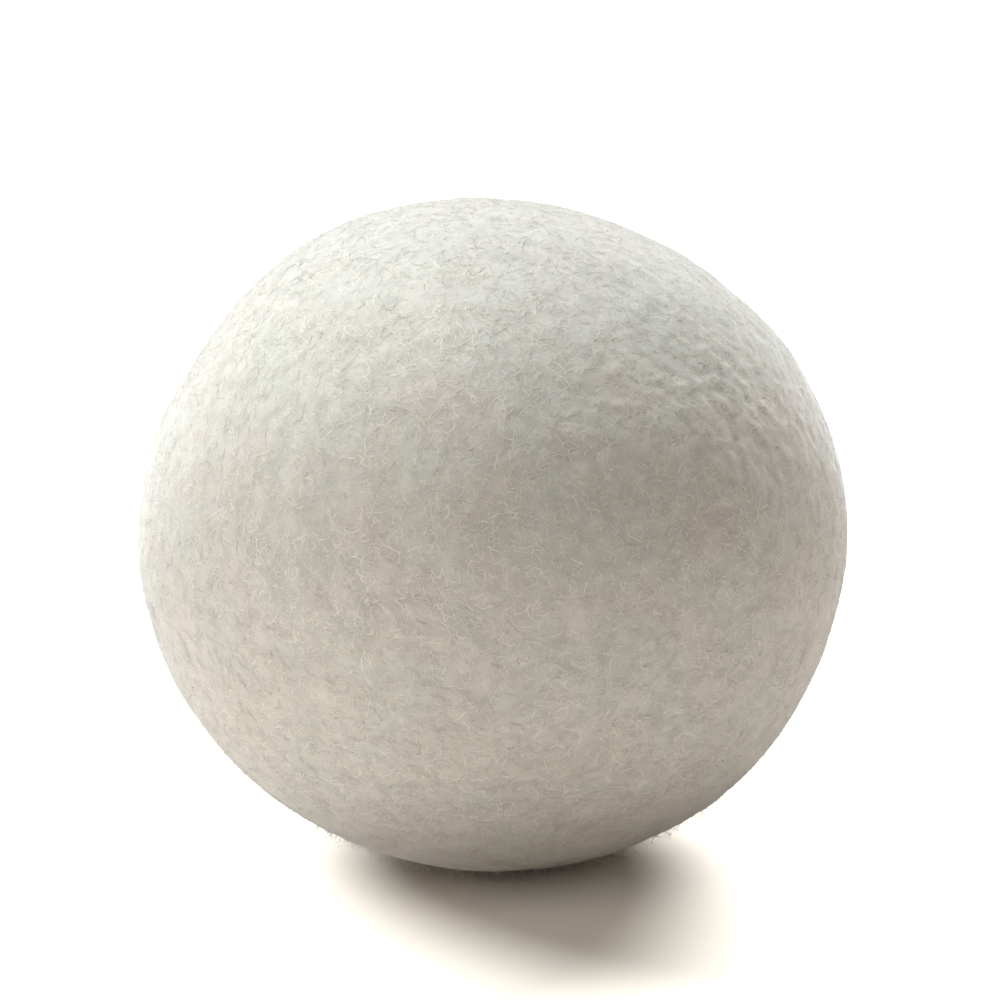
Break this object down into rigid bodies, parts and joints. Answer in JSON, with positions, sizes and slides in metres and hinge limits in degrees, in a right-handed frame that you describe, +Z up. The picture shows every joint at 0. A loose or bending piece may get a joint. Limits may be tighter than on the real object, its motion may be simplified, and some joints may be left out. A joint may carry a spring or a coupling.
{
  "type": "dryer ball",
  "caption": "Felted wool dryer ball, a slightly uneven round with a matted curly surface, for tumbling loose in a dryer drum.",
  "frame": {"origin": "bottom centre of the ball, on the surface that it rests on", "axes": "+Z up, +X to the viewer's right along the ball's long side, -Y towards the viewer"},
  "size_m": [0.07, 0.0686, 0.0655],
  "materials": {
    "wool_felt": "matte matted wool fibres with a fine fuzz",
    "carded_fleece": "matte combed wool, laid in strips",
    "core_wool": "matte combed wool, rolled tight"
  },
  "bodies": {
    "root": {"core_roll": "core_wool", "fleece_wrap_1": "carded_fleece", "fleece_wrap_2": "carded_fleece", "fleece_wrap_3": "carded_fleece", "fleece_wrap_4": "carded_fleece", "fleece_wrap_5": "carded_fleece", "fleece_wrap_6": "carded_fleece", "felt_skin": "wool_felt"}
  },
  "joints": []
}
